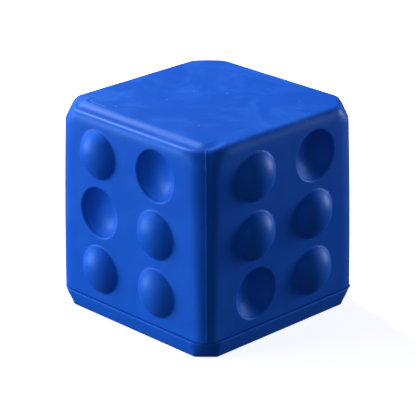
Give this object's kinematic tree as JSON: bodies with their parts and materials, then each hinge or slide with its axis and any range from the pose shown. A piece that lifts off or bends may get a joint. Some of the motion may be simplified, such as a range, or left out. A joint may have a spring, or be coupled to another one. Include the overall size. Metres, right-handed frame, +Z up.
{
  "type": "cue chalk cube",
  "caption": "Cue chalk cube in a soft rubber case: a lift-off cover with push-through bubbles in its walls, a tray, and a paper-wrapped chalk block inside.",
  "frame": {"origin": "centre of the tray's underside, where the closed case stands", "axes": "+Z up through the roof; -Y is out of the front wall, +X out of the right wall"},
  "size_m": [0.0332, 0.0332, 0.0298],
  "materials": {
    "case_rubber": "satin soft rubber, saturated blue",
    "tray_rubber": "satin soft rubber, saturated blue",
    "chalk": "dry pressed chalk, matte and dusty",
    "label_paper": "plain uncoated paper"
  },
  "bodies": {
    "base": {"base_tray": "tray_rubber"},
    "chalk": {"chalk_block": "chalk", "side_wrap": "label_paper", "base_label": "label_paper"},
    "cover": {"cover": "case_rubber"},
    "front_bubble_bottom_left": {"front_bubble_bottom_left": "case_rubber"},
    "front_bubble_bottom_right": {"front_bubble_bottom_right": "case_rubber"},
    "front_bubble_middle_left": {"front_bubble_middle_left": "case_rubber"},
    "front_bubble_middle_right": {"front_bubble_middle_right": "case_rubber"},
    "front_bubble_top_left": {"front_bubble_top_left": "case_rubber"},
    "front_bubble_top_right": {"front_bubble_top_right": "case_rubber"},
    "right_bubble_bottom_left": {"right_bubble_bottom_left": "case_rubber"},
    "right_bubble_bottom_right": {"right_bubble_bottom_right": "case_rubber"},
    "right_bubble_middle_left": {"right_bubble_middle_left": "case_rubber"},
    "right_bubble_middle_right": {"right_bubble_middle_right": "case_rubber"},
    "right_bubble_top_left": {"right_bubble_top_left": "case_rubber"},
    "right_bubble_top_right": {"right_bubble_top_right": "case_rubber"},
    "back_bubble_bottom_left": {"back_bubble_bottom_left": "case_rubber"},
    "back_bubble_bottom_right": {"back_bubble_bottom_right": "case_rubber"},
    "back_bubble_middle_left": {"back_bubble_middle_left": "case_rubber"},
    "back_bubble_middle_right": {"back_bubble_middle_right": "case_rubber"},
    "back_bubble_top_left": {"back_bubble_top_left": "case_rubber"},
    "back_bubble_top_right": {"back_bubble_top_right": "case_rubber"},
    "left_bubble_bottom_left": {"left_bubble_bottom_left": "case_rubber"},
    "left_bubble_bottom_right": {"left_bubble_bottom_right": "case_rubber"},
    "left_bubble_middle_left": {"left_bubble_middle_left": "case_rubber"},
    "left_bubble_middle_right": {"left_bubble_middle_right": "case_rubber"},
    "left_bubble_top_left": {"left_bubble_top_left": "case_rubber"},
    "left_bubble_top_right": {"left_bubble_top_right": "case_rubber"}
  },
  "joints": [
    {"name": "chalk_lift", "type": "slide", "parent": "base", "child": "chalk", "axis": [0, 0, 1], "range_m": [0, 0.012]},
    {"name": "cover_lift", "type": "slide", "parent": "chalk", "child": "cover", "axis": [0, 0, 1], "range_m": [0, 0.03]},
    {"name": "front_bubble_bottom_left_pop", "type": "slide", "parent": "cover", "child": "front_bubble_bottom_left", "axis": [0, -1, 0], "range_m": [-0.0032, 0]},
    {"name": "front_bubble_bottom_right_pop", "type": "slide", "parent": "cover", "child": "front_bubble_bottom_right", "axis": [0, -1, 0], "range_m": [-0.0032, 0]},
    {"name": "front_bubble_middle_left_pop", "type": "slide", "parent": "cover", "child": "front_bubble_middle_left", "axis": [0, -1, 0], "range_m": [0, 0.0032]},
    {"name": "front_bubble_middle_right_pop", "type": "slide", "parent": "cover", "child": "front_bubble_middle_right", "axis": [0, -1, 0], "range_m": [-0.0032, 0]},
    {"name": "front_bubble_top_left_pop", "type": "slide", "parent": "cover", "child": "front_bubble_top_left", "axis": [0, -1, 0], "range_m": [-0.0032, 0]},
    {"name": "front_bubble_top_right_pop", "type": "slide", "parent": "cover", "child": "front_bubble_top_right", "axis": [0, -1, 0], "range_m": [0, 0.0032]},
    {"name": "right_bubble_bottom_left_pop", "type": "slide", "parent": "cover", "child": "right_bubble_bottom_left", "axis": [1, 0, 0], "range_m": [0, 0.0032]},
    {"name": "right_bubble_bottom_right_pop", "type": "slide", "parent": "cover", "child": "right_bubble_bottom_right", "axis": [1, 0, 0], "range_m": [-0.0032, 0]},
    {"name": "right_bubble_middle_left_pop", "type": "slide", "parent": "cover", "child": "right_bubble_middle_left", "axis": [1, 0, 0], "range_m": [-0.0032, 0]},
    {"name": "right_bubble_middle_right_pop", "type": "slide", "parent": "cover", "child": "right_bubble_middle_right", "axis": [1, 0, 0], "range_m": [-0.0032, 0]},
    {"name": "right_bubble_top_left_pop", "type": "slide", "parent": "cover", "child": "right_bubble_top_left", "axis": [1, 0, 0], "range_m": [-0.0032, 0]},
    {"name": "right_bubble_top_right_pop", "type": "slide", "parent": "cover", "child": "right_bubble_top_right", "axis": [1, 0, 0], "range_m": [0, 0.0032]},
    {"name": "back_bubble_bottom_left_pop", "type": "slide", "parent": "cover", "child": "back_bubble_bottom_left", "axis": [0, 1, 0], "range_m": [-0.0032, 0]},
    {"name": "back_bubble_bottom_right_pop", "type": "slide", "parent": "cover", "child": "back_bubble_bottom_right", "axis": [0, 1, 0], "range_m": [0, 0.0032]},
    {"name": "back_bubble_middle_left_pop", "type": "slide", "parent": "cover", "child": "back_bubble_middle_left", "axis": [0, 1, 0], "range_m": [-0.0032, 0]},
    {"name": "back_bubble_middle_right_pop", "type": "slide", "parent": "cover", "child": "back_bubble_middle_right", "axis": [0, 1, 0], "range_m": [-0.0032, 0]},
    {"name": "back_bubble_top_left_pop", "type": "slide", "parent": "cover", "child": "back_bubble_top_left", "axis": [0, 1, 0], "range_m": [0, 0.0032]},
    {"name": "back_bubble_top_right_pop", "type": "slide", "parent": "cover", "child": "back_bubble_top_right", "axis": [0, 1, 0], "range_m": [-0.0032, 0]},
    {"name": "left_bubble_bottom_left_pop", "type": "slide", "parent": "cover", "child": "left_bubble_bottom_left", "axis": [-1, 0, 0], "range_m": [-0.0032, 0]},
    {"name": "left_bubble_bottom_right_pop", "type": "slide", "parent": "cover", "child": "left_bubble_bottom_right", "axis": [-1, 0, 0], "range_m": [-0.0032, 0]},
    {"name": "left_bubble_middle_left_pop", "type": "slide", "parent": "cover", "child": "left_bubble_middle_left", "axis": [-1, 0, 0], "range_m": [-0.0032, 0]},
    {"name": "left_bubble_middle_right_pop", "type": "slide", "parent": "cover", "child": "left_bubble_middle_right", "axis": [-1, 0, 0], "range_m": [0, 0.0032]},
    {"name": "left_bubble_top_left_pop", "type": "slide", "parent": "cover", "child": "left_bubble_top_left", "axis": [-1, 0, 0], "range_m": [0, 0.0032]},
    {"name": "left_bubble_top_right_pop", "type": "slide", "parent": "cover", "child": "left_bubble_top_right", "axis": [-1, 0, 0], "range_m": [-0.0032, 0]}
  ]
}
